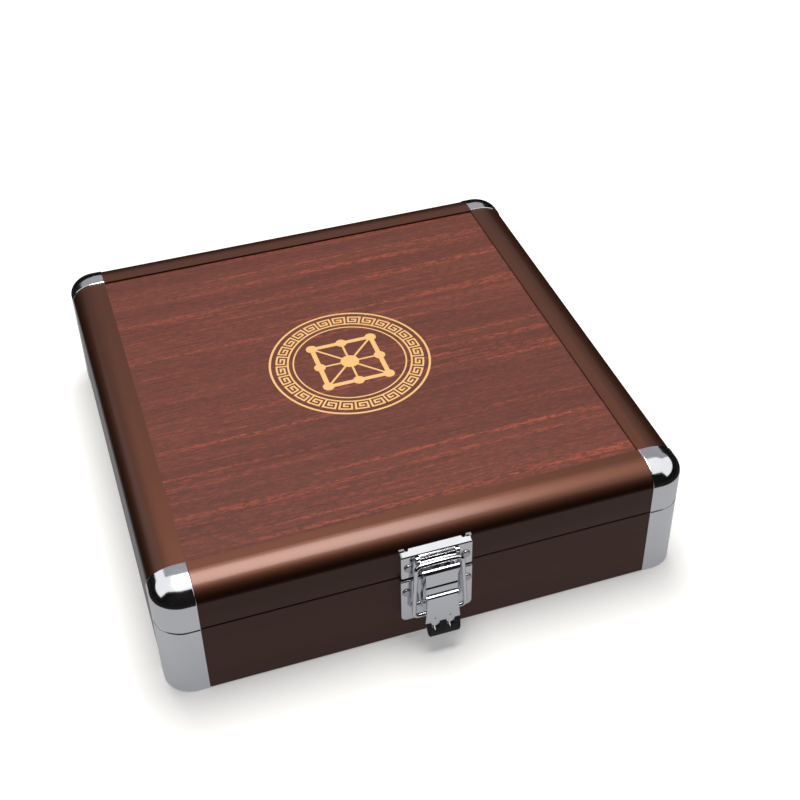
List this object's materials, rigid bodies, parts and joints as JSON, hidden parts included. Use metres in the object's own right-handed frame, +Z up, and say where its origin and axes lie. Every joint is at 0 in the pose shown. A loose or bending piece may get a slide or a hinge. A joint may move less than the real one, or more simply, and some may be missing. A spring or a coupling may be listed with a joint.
{
  "type": "board game case",
  "caption": "Shallow square hinged case with a metal rail frame, rounded plated corner pieces, a wood-faced lid panel and a front draw latch.",
  "frame": {"origin": "centre of the underside, on the surface the case stands on", "axes": "+Z up, -Y out of the front where the latch is, +X to the right seen from the front"},
  "size_m": [0.223, 0.2443, 0.057],
  "materials": {
    "brown_anodised_rail": "satin brown anodised",
    "chrome_corner": "polished chrome plate",
    "chrome_latch": "bright nickel-chrome plated steel",
    "plated_rivet": "plated, slightly domed",
    "nickel_hinge": "nickel plated",
    "wood_laminate": "satin mahogany-look laminate",
    "bottom_laminate": "dark textured laminate on fibreboard",
    "fibreboard": "bare edge",
    "flock_lining": "short flock",
    "padded_lining": "flocked foam pad"
  },
  "bodies": {
    "case_base": {"base_corner_back_left": "chrome_corner", "base_corner_back_right": "chrome_corner", "base_corner_front_left": "chrome_corner", "base_corner_front_right": "chrome_corner", "base_lining_back": "flock_lining", "base_lining_front": "flock_lining", "base_lining_left": "flock_lining", "base_lining_right": "flock_lining", "base_rail_back": "brown_anodised_rail", "base_rail_front": "brown_anodised_rail", "base_rail_left": "brown_anodised_rail", "base_rail_right": "brown_anodised_rail", "base_wall_board_back": "fibreboard", "base_wall_board_front": "fibreboard", "base_wall_board_left": "fibreboard", "base_wall_board_right": "fibreboard", "bottom_panel": "bottom_laminate", "floor_lining": "flock_lining", "hinge_base_leaf_left": "nickel_hinge", "hinge_base_leaf_right": "nickel_hinge", "hinge_base_rivets": "plated_rivet", "hinge_pins": "nickel_hinge", "latch_base_plate": "chrome_latch", "latch_plate_rivets": "plated_rivet", "lever_pin": "chrome_latch"},
    "lid": {"hinge_lid_leaf_left": "nickel_hinge", "hinge_lid_leaf_right": "nickel_hinge", "hinge_lid_rivets": "plated_rivet", "keeper_plate": "chrome_latch", "keeper_rivets": "plated_rivet", "lid_corner_back_left": "chrome_corner", "lid_corner_back_right": "chrome_corner", "lid_corner_front_left": "chrome_corner", "lid_corner_front_right": "chrome_corner", "lid_lining_back": "flock_lining", "lid_lining_front": "flock_lining", "lid_lining_left": "flock_lining", "lid_lining_right": "flock_lining", "lid_pad": "padded_lining", "lid_panel": "wood_laminate", "lid_rail_back": "brown_anodised_rail", "lid_rail_front": "brown_anodised_rail", "lid_rail_left": "brown_anodised_rail", "lid_rail_right": "brown_anodised_rail", "lid_wall_board_back": "fibreboard", "lid_wall_board_front": "fibreboard", "lid_wall_board_left": "fibreboard", "lid_wall_board_right": "fibreboard"},
    "latch_lever": {"latch_lever": "chrome_latch"},
    "latch_bail": {"latch_bail": "chrome_latch"}
  },
  "joints": [
    {"name": "lid_hinge", "type": "hinge", "parent": "case_base", "child": "lid", "pos_m": [0, 0.1161, 0.03558], "axis": [-1, 0, 0], "range_deg": [0, 105]},
    {"name": "latch_lever", "type": "hinge", "parent": "case_base", "child": "latch_lever", "pos_m": [0, -0.1208, 0.042], "axis": [-1, 0, 0], "range_deg": [0, 120]},
    {"name": "latch_bail", "type": "hinge", "parent": "latch_lever", "child": "latch_bail", "pos_m": [0, -0.1196, 0.0171], "axis": [-1, 0, 0], "range_deg": [-60, 0]}
  ],
  "couplings": [
    {"joint": "latch_bail", "follows": "latch_lever", "ratio": -0.5}
  ]
}
